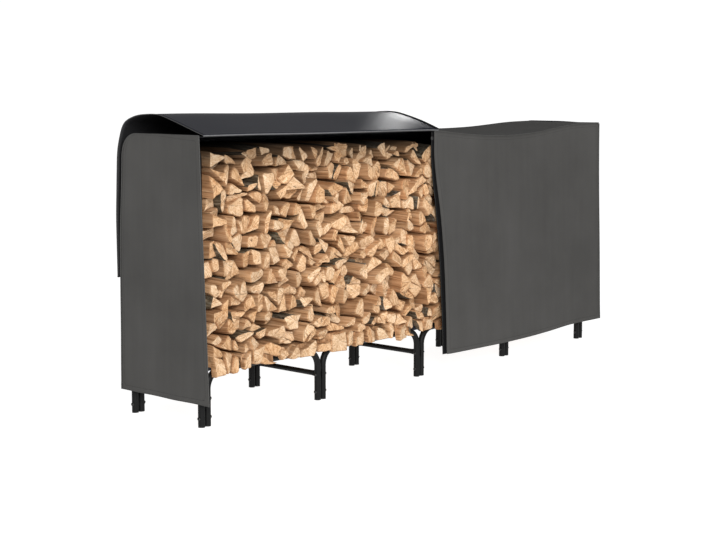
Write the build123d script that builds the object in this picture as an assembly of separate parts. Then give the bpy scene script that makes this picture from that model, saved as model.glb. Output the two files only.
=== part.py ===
"""Covered firewood rack: a four-bay tube frame, its fabric cover and the split logs in it."""
import math
import os
import random

from build123d import *

os.makedirs("parts", exist_ok=True)

# Tube frame
BAY_COUNT = 4
BAY_PITCH = 600.0
RACK_DEPTH = 357.0
TUBE_DIAMETER = 25.0
TUBE_WALL = 1.2
RAIL_HEIGHT = 196.0
RAIL_BEND_RADIUS = 65.0
END_FRAME_HEIGHT = 1018.0
END_BEND_RADIUS = 70.0

# Foot plugs in the open ends of the legs
PLUG_FLANGE = 3.0
PLUG_STEM = 16.0
PLUG_CLEARANCE = 0.2

# Cross bars, round in the middle, pressed flat where they pass between two legs
BAR_DIAMETER = 20.0
BAR_HEIGHT = 98.0
TAB_THICKNESS = 3.0
TAB_WIDTH = 26.0
TAB_LENGTH = 32.0
TAB_CLEARANCE = 0.15
FLARE_LENGTH = 24.0

# Fabric cover, outer faces measured outwards from the centre lines of the legs
FABRIC_THICKNESS = 2.0
FABRIC_CLEARANCE = 0.3
FRONT_REACH_AT_ROOF = 49.5
FRONT_REACH_AT_HEM = 57.5
BACK_REACH_AT_ROOF = 33.5
BACK_REACH_AT_HEM = 47.0
SHOULDER_RADIUS = 85.0
HEM_HEIGHT = 85.0
FRONT_SPLIT = 55.0
FREE_EDGE_LAP = 24.0
FREE_EDGE_DRIFT = 57.0
ROOF_SAG = 40.0
HEM_WAVE = 22.0
ZIP_TAPE_WIDTH = 30.0
ZIP_TAPE_LAP = 8.0

# Front flap that is thrown back over the roof
FLAP_BACK_REACH = 70.0
FLAP_RISE = 71.0
FLAP_DROP = 522.0
FLAP_ROOF_BEND = 300.0
FLAP_REAR_BEND = 95.0

# Split logs
ROUND_WIDTH = 94.0
ROUND_HEIGHT = 82.0
STACK_HEADROOM = 30.0
STACK_UNEVENNESS = 34.0
LOG_SIDE = 58.0
LOG_GAP = 0.8
LOG_MARGIN = 5.0
LOG_FRONT_STAGGER = 124.0
LOG_REAR_STAGGER = 44.0

# Proportions of the forms above
SEED_JITTER_SHARE = 0.30
SPLIT_AREA_SHARES = (1.1, 2.4)
SPLIT_ANGLE_SHARE = 0.36
SPLIT_SHIFT_SHARE = 0.12
THIN_LOG_SHARE = 0.34
BARK_SHARE = 0.60
BARK_BULGE_SHARE = 0.11
FULL_STAGGER_SHARE = 0.16
HEM_WAVE_SHARES = (0.9, 1.0, 1.0, 0.9, 0.1, 0.9)
FLAP_CORNER_SHARES = ((0.25, 0.60), (0.606, 1.03), (0.934, 0.66))
LOG_SEED = 41

half_length = BAY_COUNT * BAY_PITCH / 2
half_depth = RACK_DEPTH / 2
tube_radius = TUBE_DIAMETER / 2
leg_offset = (TUBE_DIAMETER + TAB_THICKNESS) / 2 + TAB_CLEARANCE
stations = [index * BAY_PITCH - half_length for index in range(BAY_COUNT + 1)]

panel_inside = half_length + leg_offset + tube_radius + FABRIC_CLEARANCE
panel_outside = panel_inside + FABRIC_THICKNESS
roof_under = END_FRAME_HEIGHT + FABRIC_CLEARANCE
roof_top = roof_under + FABRIC_THICKNESS
front_at_roof = half_depth + FRONT_REACH_AT_ROOF
front_at_hem = half_depth + FRONT_REACH_AT_HEM
back_at_roof = half_depth + BACK_REACH_AT_ROOF
back_at_hem = half_depth + BACK_REACH_AT_HEM
flap_back = half_depth + FLAP_BACK_REACH
shoulder_start = back_at_roof - SHOULDER_RADIUS
free_edge_top = FRONT_SPLIT - FREE_EDGE_LAP
free_edge_hem = free_edge_top + FREE_EDGE_DRIFT
sag_end = half_length - BAY_PITCH / 4


def save(name, solids):
    """Writes one node of the part."""
    shape = solids[0] if len(solids) == 1 else Compound(children=solids)
    export_step(shape, f"parts/{name}.step")


def bent_tube(corners, bend_radius):
    """Hollow tube along a path whose corners are bent."""
    path = FilletPolyline(*corners, radius=bend_radius)
    ring = Circle(tube_radius) - Circle(tube_radius - TUBE_WALL)
    return sweep(Plane(path @ 0, z_dir=path % 0) * ring, path=path).solid()


def log_rail(bay, y):
    """Inverted U of one bay: two legs and the rail that the logs lie on."""
    left = stations[bay] + leg_offset
    right = stations[bay + 1] - leg_offset
    corners = [
        (left, y, PLUG_FLANGE),
        (left, y, RAIL_HEIGHT),
        (right, y, RAIL_HEIGHT),
        (right, y, PLUG_FLANGE),
    ]
    return bent_tube(corners, RAIL_BEND_RADIUS)


def end_frame(side):
    """Tall inverted U across one end of the rack."""
    x = side * (half_length + leg_offset)
    bar = END_FRAME_HEIGHT - tube_radius
    corners = [
        (x, -half_depth, PLUG_FLANGE),
        (x, -half_depth, bar),
        (x, half_depth, bar),
        (x, half_depth, PLUG_FLANGE),
    ]
    return bent_tube(corners, END_BEND_RADIUS)


def foot_plug(x, y):
    """Flanged plug that closes one leg and stands on the ground."""
    align = (Align.CENTER, Align.CENTER, Align.MIN)
    flange = Cylinder(tube_radius, PLUG_FLANGE, align=align)
    stem_radius = tube_radius - TUBE_WALL - PLUG_CLEARANCE
    stem = Cylinder(stem_radius, PLUG_FLANGE + PLUG_STEM, align=align)
    return (Pos(x, y, 0) * (flange + stem)).solid()


def cross_bar(x):
    """Round bar whose pressed ends pass between the legs of a pair."""
    tab_end = half_depth + TAB_WIDTH / 2
    tab_start = tab_end - TAB_LENGTH
    round_end = tab_start - FLARE_LENGTH
    barrel = extrude(Plane.XZ * Circle(BAR_DIAMETER / 2), amount=round_end, both=True)
    bar = barrel
    for side in (1, -1):
        flare = loft([
            Plane.XZ.offset(side * round_end) * Circle(BAR_DIAMETER / 2),
            Plane.XZ.offset(side * tab_start) * Ellipse(TAB_THICKNESS / 2, TAB_WIDTH / 2),
        ])
        middle = side * (tab_start + tab_end) / 2
        blank = Plane.XZ.offset(middle) * Rectangle(TAB_THICKNESS, TAB_WIDTH)
        bar = bar + flare + extrude(blank, amount=TAB_LENGTH / 2, both=True)
    return (Pos(x, 0, BAR_HEIGHT) * bar).solid()


def end_panel(side):
    """End panel with a round shoulder at the rear."""
    outline = Polyline(
        (FABRIC_THICKNESS - front_at_hem, HEM_HEIGHT),
        (FABRIC_THICKNESS - front_at_roof, roof_top),
        (shoulder_start, roof_top),
    )
    shoulder = RadiusArc(
        (shoulder_start, roof_top),
        (back_at_roof, roof_top - SHOULDER_RADIUS),
        SHOULDER_RADIUS,
    )
    rear = Polyline(
        (back_at_roof, roof_top - SHOULDER_RADIUS),
        (back_at_hem, HEM_HEIGHT),
        (FABRIC_THICKNESS - front_at_hem, HEM_HEIGHT),
    )
    face = make_face(Plane.YZ * (outline + shoulder + rear))
    panel = extrude(face, amount=FABRIC_THICKNESS, dir=(side, 0, 0))
    return (Pos(side * panel_inside, 0, 0) * panel).solid()


def back_panel():
    """Back of the cover with the shoulder that leads up to the roof."""
    inner = FABRIC_THICKNESS
    knee = roof_top - SHOULDER_RADIUS
    outside = RadiusArc((shoulder_start, roof_top), (back_at_roof, knee), SHOULDER_RADIUS)
    inside = RadiusArc((back_at_roof - inner, knee), (shoulder_start, roof_under), inner - SHOULDER_RADIUS)
    lower = Polyline(
        (back_at_roof, knee),
        (back_at_hem, HEM_HEIGHT),
        (back_at_hem - inner, HEM_HEIGHT),
        (back_at_roof - inner, knee),
    )
    close = Line((shoulder_start, roof_under), (shoulder_start, roof_top))
    face = make_face(Plane.YZ * (outside + lower + inside + close))
    panel = extrude(face, amount=2 * panel_inside, dir=(1, 0, 0))
    return (Pos(-panel_inside, 0, 0) * panel).solid()


def roof_left():
    """Flat half of the roof under the thrown-back flap."""
    length = panel_inside + FRONT_SPLIT
    width = shoulder_start + front_at_roof - FABRIC_THICKNESS
    low_corner = (Align.MIN, Align.MIN, Align.MIN)
    panel = Box(length, width, FABRIC_THICKNESS, align=low_corner)
    return (Pos(-panel_inside, FABRIC_THICKNESS - front_at_roof, roof_under) * panel).solid()


def sag_section(y, sag):
    """Upright slice of the slack roof: a sag, then flat over the end frame."""
    middle = (FRONT_SPLIT + sag_end) / 2
    upper = ThreePointArc((FRONT_SPLIT, roof_top), (middle, roof_top - sag), (sag_end, roof_top))
    lower = ThreePointArc((sag_end, roof_under), (middle, roof_under - sag), (FRONT_SPLIT, roof_under))
    flat = Polyline(
        (sag_end, roof_top),
        (panel_inside, roof_top),
        (panel_inside, roof_under),
        (sag_end, roof_under),
    )
    side = Line((FRONT_SPLIT, roof_under), (FRONT_SPLIT, roof_top))
    return make_face(Plane.XZ.offset(-y) * (upper + flat + lower + side))


def roof_right():
    """Half of the roof that hangs slack between the log stack and the end frame."""
    slack = FABRIC_THICKNESS
    front = sag_section(FABRIC_THICKNESS - front_at_roof, ROOF_SAG)
    rear = sag_section(shoulder_start, slack)
    return loft([front, rear], ruled=True).solid()


def flap_right():
    """Closed front flap: straight along the roof, waved at the hem, its free edge drifting as it hangs."""
    reach = panel_outside - free_edge_hem
    steps = len(HEM_WAVE_SHARES) - 1
    outside = [
        (free_edge_hem + reach * step / steps, -front_at_hem - HEM_WAVE * share)
        for step, share in enumerate(HEM_WAVE_SHARES)
    ]
    inside = [(x, y + FABRIC_THICKNESS) for x, y in reversed(outside)]
    hem = Spline(*outside) + Line(outside[-1], inside[0]) + Spline(*inside) + Line(inside[-1], outside[0])
    top = Polyline(
        (free_edge_top, -front_at_roof),
        (panel_outside, -front_at_roof),
        (panel_outside, FABRIC_THICKNESS - front_at_roof),
        (free_edge_top, FABRIC_THICKNESS - front_at_roof),
        close=True,
    )
    hem_face = make_face(Plane.XY.offset(HEM_HEIGHT) * hem)
    top_face = make_face(Plane.XY.offset(roof_top) * top)
    sheet = loft([hem_face, top_face], ruled=True)
    middle = (FRONT_SPLIT + sag_end) / 2
    hollow = ThreePointArc(
        (FRONT_SPLIT, roof_top),
        (middle, roof_top - ROOF_SAG),
        (sag_end, roof_top),
    )
    above = Line((sag_end, roof_top), (FRONT_SPLIT, roof_top))
    cutter = extrude(make_face(Plane.XZ * (hollow + above)), amount=2 * front_at_hem, both=True)
    return (sheet - cutter).solid()


def flap_left():
    """Front flap thrown back: it rises off the front seam, crosses the roof and hangs behind."""
    base = roof_top + FABRIC_CLEARANCE
    span = front_at_roof + flap_back
    corners = [(-front_at_roof, base)]
    corners += [(across * span - front_at_roof, base + up * FLAP_RISE) for across, up in FLAP_CORNER_SHARES]
    corners.append((flap_back - FABRIC_THICKNESS, base - FLAP_DROP))
    bends = [FLAP_ROOF_BEND, FLAP_ROOF_BEND, FLAP_REAR_BEND]
    under = FilletPolyline(*corners, radius=bends)
    band = offset(under, amount=FABRIC_THICKNESS, side=Side.LEFT, closed=True)
    body = extrude(make_face(Plane.YZ * band), amount=panel_outside + FRONT_SPLIT, dir=(1, 0, 0))
    return (Pos(-panel_outside, 0, 0) * body).solid()


def zip_tape():
    """Strip of zip tape sewn behind the free edge of the closed flap."""
    top = roof_under - FABRIC_CLEARANCE
    lean = front_at_hem + HEM_WAVE * HEM_WAVE_SHARES[0] - front_at_roof
    back_of_flap = FABRIC_THICKNESS - front_at_roof
    fallen = (roof_top - top) / (roof_top - HEM_HEIGHT)
    sections = []
    for height, share in ((HEM_HEIGHT, 1), (top, fallen)):
        section = Rectangle(ZIP_TAPE_WIDTH, FABRIC_THICKNESS, align=(Align.MAX, Align.MIN))
        edge = free_edge_top + ZIP_TAPE_LAP + FREE_EDGE_DRIFT * share
        sections.append(Pos(edge, back_of_flap - lean * share, height) * section)
    return loft(sections, ruled=True).solid()


def clip(outline, point, normal):
    """Part of a convex outline behind a line through a point."""
    kept = []
    for start, end in zip(outline, outline[1:] + outline[:1]):
        start_ahead = (start[0] - point[0]) * normal[0] + (start[1] - point[1]) * normal[1]
        end_ahead = (end[0] - point[0]) * normal[0] + (end[1] - point[1]) * normal[1]
        if start_ahead <= 0:
            kept.append(start)
        if start_ahead * end_ahead < 0:
            share = start_ahead / (start_ahead - end_ahead)
            kept.append((start[0] + share * (end[0] - start[0]), start[1] + share * (end[1] - start[1])))
    return kept


def area_of(outline):
    """Area of a convex outline drawn anticlockwise."""
    pairs = zip(outline, outline[1:] + outline[:1])
    return sum(a[0] * b[1] - b[0] * a[1] for a, b in pairs) / 2


def middle_of(outline):
    """Mean of the corners."""
    return (sum(p[0] for p in outline) / len(outline), sum(p[1] for p in outline) / len(outline))


def long_axis(outline):
    """Direction and length of the longest line between two corners."""
    return max(
        (math.dist(a, b), math.atan2(b[1] - a[1], b[0] - a[0])) for a in outline for b in outline if a != b
    )


def cleave(outline, chance):
    """Splits a round across its long axis until the billets are small enough."""
    wanted = LOG_SIDE ** 2 * chance.uniform(*SPLIT_AREA_SHARES)
    if area_of(outline) < wanted:
        return [outline]
    length, angle = long_axis(outline)
    turn = angle + math.pi * SPLIT_ANGLE_SHARE * chance.uniform(-1, 1) / 2
    middle = middle_of(outline)
    shift = length * SPLIT_SHIFT_SHARE
    point = (middle[0] + shift * chance.uniform(-1, 1), middle[1] + shift * chance.uniform(-1, 1))
    normal = (math.cos(turn), math.sin(turn))
    halves = [clip(outline, point, normal), clip(outline, point, (-normal[0], -normal[1]))]
    return [billet for half in halves for billet in cleave(half, chance)]


def ease(outline):
    """Draws a billet in from its neighbours."""
    eased = outline
    for start, end in zip(outline, outline[1:] + outline[:1]):
        run = math.dist(start, end)
        if run > LOG_GAP:
            normal = ((end[1] - start[1]) / run, (start[0] - end[0]) / run)
            inset = LOG_GAP / 2
            eased = clip(eased, (start[0] - inset * normal[0], start[1] - inset * normal[1]), normal)
    return [a for a, b in zip(eased, eased[1:] + eased[:1]) if math.dist(a, b) > LOG_GAP]


def stack_outlines(chance):
    """Outlines of all the billets, seen from the front."""
    edge = half_length + leg_offset - tube_radius - FABRIC_CLEARANCE
    floor = RAIL_HEIGHT + tube_radius + FABRIC_CLEARANCE
    ceiling = roof_under - STACK_HEADROOM
    region = [(-edge, floor), (edge, floor), (edge, ceiling), (-edge, ceiling)]
    columns = round(2 * edge / ROUND_WIDTH)
    rows = round((ceiling - floor) / ROUND_HEIGHT)
    step_x = 2 * edge / columns
    step_z = (ceiling - floor) / rows
    seeds = []
    for row in range(rows):
        for column in range(columns):
            shift = (row % 2) / 2 - 1 / 4
            x = column + 1 / 2 + shift + SEED_JITTER_SHARE * chance.uniform(-1, 1)
            z = row + 1 / 2 + SEED_JITTER_SHARE * chance.uniform(-1, 1)
            seeds.append((x * step_x - edge, floor + z * step_z))
    outlines = []
    for seed in seeds:
        cell = region
        for other in seeds:
            if other != seed:
                halfway = ((seed[0] + other[0]) / 2, (seed[1] + other[1]) / 2)
                cell = clip(cell, halfway, (other[0] - seed[0], other[1] - seed[1]))
        outlines += cleave(cell, chance)
    return outlines, floor, ceiling


def lower_top(outline, ceiling, chance):
    """Gives the top of the stack an uneven line, lower where the roof sags."""
    middle = middle_of(outline)
    limit = ceiling
    if middle[0] > FRONT_SPLIT:
        limit = ceiling - ROOF_SAG
    if max(p[1] for p in outline) < limit - STACK_UNEVENNESS:
        return outline
    half_width = (max(p[0] for p in outline) - min(p[0] for p in outline)) / 2
    drop = STACK_UNEVENNESS * chance.random()
    slope = chance.uniform(-1, 1) * drop / max(half_width, drop)
    return clip(outline, (middle[0], limit - drop), (slope, 1))


def bark_side(outline):
    """Corners with the longest side drawn in at both ends, and the top of the arc over it."""
    count = len(outline)
    longest = max(range(count), key=lambda index: math.dist(outline[index], outline[(index + 1) % count]))
    first = longest
    last = (longest + 1) % count
    start = outline[first]
    end = outline[last]
    run = math.dist(start, end)
    normal = ((end[1] - start[1]) / run, (start[0] - end[0]) / run)
    before = outline[first - 1]
    after = outline[(last + 1) % count]
    fall_before = (start[0] - before[0]) * normal[0] + (start[1] - before[1]) * normal[1]
    fall_after = (end[0] - after[0]) * normal[0] + (end[1] - after[1]) * normal[1]
    depth = min(BARK_BULGE_SHARE * run, fall_before / 2, fall_after / 2)
    corners = list(outline)
    corners[first] = tuple(a + (b - a) * depth / fall_before for a, b in zip(start, before))
    corners[last] = tuple(a + (b - a) * depth / fall_after for a, b in zip(end, after))
    crown = tuple((a + b) / 2 + depth * n for a, b, n in zip(corners[first], corners[last], normal))
    return corners, first, crown


def billet_solid(outline, front, length, bark):
    """One log along the depth of the rack, with a round bark side where it has one."""
    corners = outline
    round_run = None
    if bark:
        corners, round_run, crown = bark_side(outline)
    curves = []
    for index, start in enumerate(corners):
        end = corners[(index + 1) % len(corners)]
        if index == round_run:
            curves.append(ThreePointArc(start, crown, end))
        else:
            curves.append(Line(start, end))
    rear = Plane((0, front + length, 0), x_dir=(1, 0, 0), z_dir=(0, -1, 0))
    return extrude(make_face(rear * Curve(curves)), amount=length, dir=(0, -1, 0)).solid()


def rear_limit(top):
    """How far back a log may reach, less where it lies under the round shoulder of the cover."""
    knee = roof_top - SHOULDER_RADIUS
    limit = half_depth + tube_radius
    if top > knee:
        inner = SHOULDER_RADIUS - FABRIC_THICKNESS
        reach = math.sqrt(inner ** 2 - (top - knee) ** 2)
        limit = min(limit, shoulder_start + reach - LOG_MARGIN)
    return limit


def firewood():
    """Logs of the whole stack, sorted by bay and by lower or upper half."""
    chance = random.Random(LOG_SEED)
    outlines, floor, ceiling = stack_outlines(chance)
    front_limit = LOG_MARGIN + FABRIC_THICKNESS - front_at_roof
    groups = {}
    for outline in outlines:
        resting = min(p[1] for p in outline) < floor + LOG_GAP
        trimmed = ease(lower_top(outline, ceiling, chance))
        if len(trimmed) < 3:
            continue
        length, _ = long_axis(trimmed)
        if area_of(trimmed) < THIN_LOG_SHARE * length * LOG_SIDE / 2:
            continue
        stagger = LOG_FRONT_STAGGER * chance.random() * chance.random()
        shortfall = LOG_REAR_STAGGER * chance.random()
        if resting:
            stagger = stagger * FULL_STAGGER_SHARE
            shortfall = 0
        front = front_limit + stagger
        length = rear_limit(max(p[1] for p in trimmed)) - shortfall - front
        x, z = middle_of(trimmed)
        bay = min(BAY_COUNT - 1, max(0, int((x + half_length) / BAY_PITCH)))
        level = "lower" if z < (floor + ceiling) / 2 else "upper"
        bark = chance.random() < BARK_SHARE
        groups.setdefault((bay, level), []).append(billet_solid(trimmed, front, length, bark))
    return groups


save("left_end_frame", [end_frame(-1)])
save("right_end_frame", [end_frame(1)])
for bay in range(BAY_COUNT):
    save(f"front_rail_bay_{bay + 1}", [log_rail(bay, -half_depth)])
    save(f"rear_rail_bay_{bay + 1}", [log_rail(bay, half_depth)])
for index, x in enumerate(stations):
    save(f"cross_bar_{index + 1}", [cross_bar(x)])
legs = [x + side * leg_offset for x in stations for side in (-1, 1)]
save("front_foot_plugs", [foot_plug(x, -half_depth) for x in legs])
save("rear_foot_plugs", [foot_plug(x, half_depth) for x in legs])

save("cover_left_end_panel", [end_panel(-1)])
save("cover_right_end_panel", [end_panel(1)])
save("cover_back_panel", [back_panel()])
save("cover_roof_left", [roof_left()])
save("cover_roof_right", [roof_right()])
save("cover_front_flap_right", [flap_right()])
save("cover_front_flap_left", [flap_left()])
save("zip_tape", [zip_tape()])

for (bay, level), logs in sorted(firewood().items()):
    save(f"firewood_bay_{bay + 1}_{level}", logs)
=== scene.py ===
# %% [markdown]
# # A covered firewood rack
# The real thing is a row of four bent steel bays that carries split logs, under a fabric cover.
# The left front flap of the cover is thrown back over the roof, so its black lining shows on top.
# The steel comes from the CAD model as it is. Cloth, zip, bolts and the wood's surface are made here.

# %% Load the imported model
import math
import random

import bmesh
import bpy
import numpy as np
from mathutils import Matrix, Vector, noise


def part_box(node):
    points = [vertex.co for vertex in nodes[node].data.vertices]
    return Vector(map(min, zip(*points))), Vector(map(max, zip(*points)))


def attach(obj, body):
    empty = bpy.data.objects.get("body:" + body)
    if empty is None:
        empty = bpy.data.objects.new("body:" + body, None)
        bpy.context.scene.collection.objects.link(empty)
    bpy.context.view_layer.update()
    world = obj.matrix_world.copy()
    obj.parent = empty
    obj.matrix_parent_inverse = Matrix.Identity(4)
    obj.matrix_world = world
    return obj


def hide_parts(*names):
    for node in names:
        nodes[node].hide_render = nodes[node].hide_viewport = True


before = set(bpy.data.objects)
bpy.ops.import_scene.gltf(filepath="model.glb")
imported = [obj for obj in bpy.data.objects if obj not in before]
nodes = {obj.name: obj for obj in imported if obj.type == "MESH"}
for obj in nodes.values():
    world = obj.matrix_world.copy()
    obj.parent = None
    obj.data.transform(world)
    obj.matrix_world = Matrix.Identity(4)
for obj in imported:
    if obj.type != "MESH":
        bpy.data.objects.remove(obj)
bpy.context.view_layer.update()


def new_object(name, data):
    """A new object in the scene, at the origin."""
    made = bpy.data.objects.new(name, data)
    bpy.context.scene.collection.objects.link(made)
    return made


# %% [markdown]
# ## The camera
# The view was found by fitting a camera to known points of the rack: feet, frame tops and cover corners.
# Standing left of the middle and a little above the roof, it looks about seven degrees down.

# %% Place the camera
camera_data = bpy.data.cameras.new("photo_camera")
camera_data.sensor_width = 36.0
camera_data.lens = 73.78
camera = new_object("photo_camera", camera_data)
camera.location = (-4.64712, -3.92421, 1.20781)
camera.rotation_euler = (math.radians(90.0 - 7.3297), 0.0, math.radians(-48.7212))
bpy.context.scene.camera = camera
bpy.context.scene.view_settings.view_transform = "Standard"
print("camera lens:", camera_data.lens, "mm")

# %% [markdown]
# ## Sizes that the cloth shares with the CAD solids
# The CAD solids say where the cover hangs. Their boxes give the numbers, so the cloth follows the frame.

# %% Read the sizes
left_low, left_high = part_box("cover_left_end_panel")
roof_low, roof_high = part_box("cover_roof_left")
frame_low, frame_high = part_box("left_end_frame")
CAD_FABRIC = 0.002
HEM = left_low.z
ROOF = left_high.z
END_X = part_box("cover_right_end_panel")[1].x
SPLIT_X = roof_high.x
FREE_TOP_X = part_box("cover_front_flap_right")[0].x
FRONT_ROOF_Y = roof_low.y - CAD_FABRIC
FRONT_HEM_Y = left_low.y - CAD_FABRIC
BACK_HEM_Y = left_high.y
SHOULDER = 0.085
KNEE = ROOF - SHOULDER
SHOULDER_Y = roof_high.y
BACK_KNEE_Y = SHOULDER_Y + SHOULDER
RAIL_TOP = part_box("front_rail_bay_1")[1].z
LEG_RADIUS = (frame_high.x - frame_low.x) / 2.0
print("hem", round(HEM, 3), "roof", round(ROOF, 3), "split", round(SPLIT_X, 3), "end", round(END_X, 3))

# %% [markdown]
# ## Helpers for nodes
# Each finish is a small graph of texture nodes. These helpers only save typing: one adds a node, one sets
# its inputs by name, and the others make the usual groups.


# %% Node helpers
def start_material(name):
    """A material with its tree and its shader."""
    material = bpy.data.materials.new(name)
    material.use_nodes = True
    tree = material.node_tree
    return material, tree, tree.nodes["Principled BSDF"]


def fill(tree, target, inputs):
    """Sets or links the inputs of a node."""
    for key, value in inputs.items():
        if isinstance(value, bpy.types.NodeSocket):
            tree.links.new(value, target.inputs[key])
        else:
            target.inputs[key].default_value = value


def add_node(tree, kind, inputs=None, **settings):
    """A node with its settings, and its inputs set or linked."""
    made = tree.nodes.new(kind)
    for key, value in settings.items():
        setattr(made, key, value)
    fill(tree, made, inputs or {})
    return made


def calculate(tree, operation, *values):
    """One step of arithmetic."""
    return add_node(tree, "ShaderNodeMath", dict(enumerate(values)), operation=operation).outputs[0]


def weighted(tree, *pairs):
    """The sum of values, each times its weight."""
    total = 0.0
    for value, weight in pairs:
        total = calculate(tree, "MULTIPLY_ADD", value, weight, total)
    return total


def mapped(tree, value, low, high, start=0.0, end=1.0):
    """A value that runs from start to end, made to run from low to high."""
    inputs = {"Value": value, "From Min": start, "From Max": end, "To Min": low, "To Max": high}
    return add_node(tree, "ShaderNodeMapRange", inputs).outputs["Result"]


def colour_ramp(tree, factor, *stops):
    """Colours along a factor: stops are (place, red, green, blue)."""
    made = add_node(tree, "ShaderNodeValToRGB", {"Fac": factor})
    elements = made.color_ramp.elements
    while len(elements) < len(stops):
        elements.new(0.5)
    for element, (place, *colour) in zip(elements, stops):
        element.position = place
        element.color = (*colour, 1.0)
    return made.outputs["Color"]


def blend_colours(tree, factor, first, second, mode="MIX"):
    """Two colours mixed by a factor."""
    inputs = {0: factor, 6: first, 7: second}
    return add_node(tree, "ShaderNodeMix", inputs, data_type="RGBA", blend_type=mode).outputs[2]


def cloudy(tree, place, scale, detail=3.0, roughness=0.5, stretch=None):
    """Soft noise at a place, which may be scaled differently along each axis."""
    if stretch:
        place = add_node(tree, "ShaderNodeMapping", {"Vector": place, "Scale": stretch}).outputs["Vector"]
    inputs = {"Vector": place, "Scale": scale, "Detail": detail, "Roughness": roughness}
    return add_node(tree, "ShaderNodeTexNoise", inputs).outputs["Fac"]


def relief(tree, height, strength, distance):
    """Bump from a height."""
    inputs = {"Height": height, "Strength": strength, "Distance": distance}
    return add_node(tree, "ShaderNodeBump", inputs).outputs["Normal"]


def object_place(tree):
    """Where the point is on the object."""
    return add_node(tree, "ShaderNodeTexCoord").outputs["Object"]


print("node helpers ready")

# %% [markdown]
# ## Powder-coated steel and moulded plastic
# The tubes are powder-coated black: not quite matt, with a faint orange-peel skin and paler scuffs.
# The plugs in the feet are plain black polythene, duller than the steel, with faint greyer patches.


# %% Make the steel and plastic finishes
def powder_coat():
    """Black powder coat."""
    material, tree, shader = start_material("black_powder_coat")
    place = object_place(tree)
    scuffs = cloudy(tree, place, 16.0, 5.0, 0.65)
    colour = colour_ramp(
        tree, scuffs,
        (0.35, 0.0046, 0.0047, 0.0048), (0.64, 0.0070, 0.0071, 0.0071), (0.82, 0.016, 0.016, 0.015))
    fill(tree, shader, {
        "Base Color": colour,
        "Roughness": mapped(tree, scuffs, 0.40, 0.60),
        "Specular IOR Level": 0.14,
        "Normal": relief(tree, cloudy(tree, place, 620.0, 2.0), 0.10, 0.0004),
    })
    return material


def moulded_plastic():
    """Black plastic of the foot plugs."""
    material, tree, shader = start_material("black_polythene")
    place = object_place(tree)
    dust = cloudy(tree, place, 90.0, 4.0, 0.6)
    fill(tree, shader, {
        "Base Color": colour_ramp(tree, dust, (0.4, 0.010, 0.010, 0.010), (0.75, 0.030, 0.029, 0.027)),
        "Roughness": 0.62,
        "Normal": relief(tree, cloudy(tree, place, 1100.0, 2.0), 0.15, 0.0003),
    })
    return material


steel = powder_coat()
plastic = moulded_plastic()
for name, cad_node in nodes.items():
    if "frame" in name or "rail" in name or "cross_bar" in name:
        finish = steel
    elif "plugs" in name:
        finish = plastic
    else:
        continue
    cad_node.data.materials.clear()
    cad_node.data.materials.append(finish)
print("steel and plastic assigned")

# %% [markdown]
# ## Cloth finishes
# The cover is coated polyester: dull grey weave outside, smooth black coating inside. The weave is about
# one and a half millimetres, so it is a bump on the cloth's own UV map, which is measured in metres.
# Stitches follow a second map, which holds the distance along an edge and the distance from it.


# %% Make the cloth finishes
STITCH_ROW = 0.018
STITCH_HALF_WIDTH = 0.0007
STITCHES_PER_METRE = 180.0
STITCH_SHARE = 0.64
WEAVE_SCALE = 196.0


def stitch_mask(tree):
    """White on the stitches of the row that runs along every edge."""
    where = add_node(tree, "ShaderNodeUVMap", uv_map="stitch").outputs["UV"]
    parts = add_node(tree, "ShaderNodeSeparateXYZ", {"Vector": where}).outputs
    on_row = calculate(tree, "COMPARE", parts["Y"], STITCH_ROW, STITCH_HALF_WIDTH)
    along = calculate(tree, "FRACT", calculate(tree, "MULTIPLY", parts["X"], STITCHES_PER_METRE))
    return calculate(tree, "MULTIPLY", on_row, calculate(tree, "LESS_THAN", along, STITCH_SHARE))


def weave_height(tree):
    """Crossing threads on the cloth's own map."""
    cloth = add_node(tree, "ShaderNodeUVMap", uv_map="cloth").outputs["UV"]
    inputs = {"Vector": cloth, "Scale": WEAVE_SCALE}
    warp = add_node(tree, "ShaderNodeTexWave", inputs, bands_direction="X")
    weft = add_node(tree, "ShaderNodeTexWave", inputs, bands_direction="Y")
    return calculate(tree, "MULTIPLY", warp.outputs["Fac"], weft.outputs["Fac"])


def grey_weave():
    """Outer face of the cover."""
    material, tree, shader = start_material("grey_coated_weave")
    place = object_place(tree)
    patches = cloudy(tree, place, 3.2, 4.0, 0.55)
    streaks = cloudy(tree, place, 1.0, 3.0, 0.6, (26.0, 26.0, 1.6))
    tone = weighted(tree, (patches, 0.70), (streaks, 0.30))
    colour = colour_ramp(tree, tone, (0.36, 0.0570, 0.0556, 0.0530), (0.64, 0.0698, 0.0681, 0.0652))
    stitches = stitch_mask(tree)
    height = weighted(tree, (weave_height(tree), 1.0), (stitches, 1.5))
    fill(tree, shader, {
        "Base Color": blend_colours(tree, stitches, colour, (0.030, 0.030, 0.029, 1.0)),
        "Roughness": 0.82,
        "Specular IOR Level": 0.08,
        "Sheen Weight": 0.02,
        "Sheen Roughness": 0.5,
        "Normal": relief(tree, height, 0.30, 0.0005),
    })
    return material


def black_coating():
    """Inner face of the cover: a smooth black coating on the weave."""
    material, tree, shader = start_material("black_coated_lining")
    patches = cloudy(tree, object_place(tree), 1.4, 4.0, 0.6, (2.2, 6.0, 6.0))
    colour = colour_ramp(tree, patches, (0.35, 0.0075, 0.0083, 0.0145), (0.68, 0.0120, 0.0130, 0.0200))
    stitches = stitch_mask(tree)
    height = weighted(tree, (weave_height(tree), 0.35), (stitches, 1.2))
    fill(tree, shader, {
        "Base Color": blend_colours(tree, stitches, colour, (0.045, 0.045, 0.047, 1.0)),
        "Roughness": mapped(tree, patches, 0.32, 0.38),
        "Specular IOR Level": 0.10,
        "Normal": relief(tree, height, 0.20, 0.0004),
    })
    return material


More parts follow.
